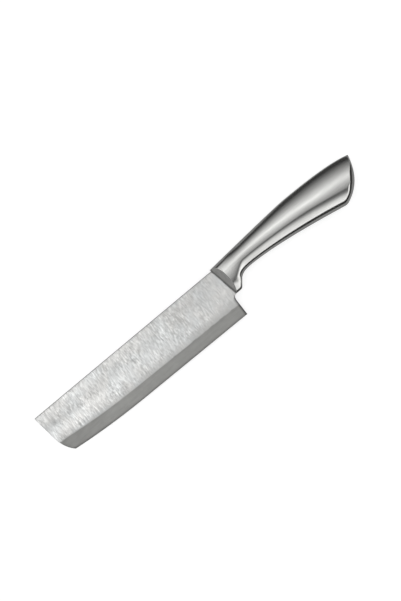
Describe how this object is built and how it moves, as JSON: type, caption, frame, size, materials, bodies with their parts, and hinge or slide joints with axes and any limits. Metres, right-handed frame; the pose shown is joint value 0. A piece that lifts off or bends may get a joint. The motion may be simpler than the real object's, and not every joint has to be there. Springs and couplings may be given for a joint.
{
  "type": "vegetable knife",
  "caption": "Vegetable knife with a straight-spined, square-nosed stamped blade and a hollow polished steel handle with a beaked bolster and a flared butt.",
  "frame": {"origin": "middle of the knife's box, on the surface that it lies on", "axes": "+X along the spine from tip to butt, +Y from the cutting edge to the spine, +Z square to the blade, out of its left side"},
  "size_m": [0.317, 0.0498, 0.018],
  "materials": {
    "blade_steel": "flat sides ground across with short bright streaks, bevels smooth satin and darker",
    "bolster_steel": "slanted front faces finely ground, the rest polished with the handle",
    "handle_steel": "satin brushed lengthwise and buffed nearly bright",
    "ground_weld": "weld ground flush and polished with the shells",
    "raw_weld": "rippled fillet weld left as laid, hidden inside the handle"
  },
  "bodies": {
    "root": {"blade": "blade_steel", "bolster": "bolster_steel", "handle_shell_left": "handle_steel", "handle_shell_right": "handle_steel", "seam_weld": "ground_weld", "collar_weld": "ground_weld", "tang_weld_left": "raw_weld", "tang_weld_right": "raw_weld"}
  },
  "joints": []
}
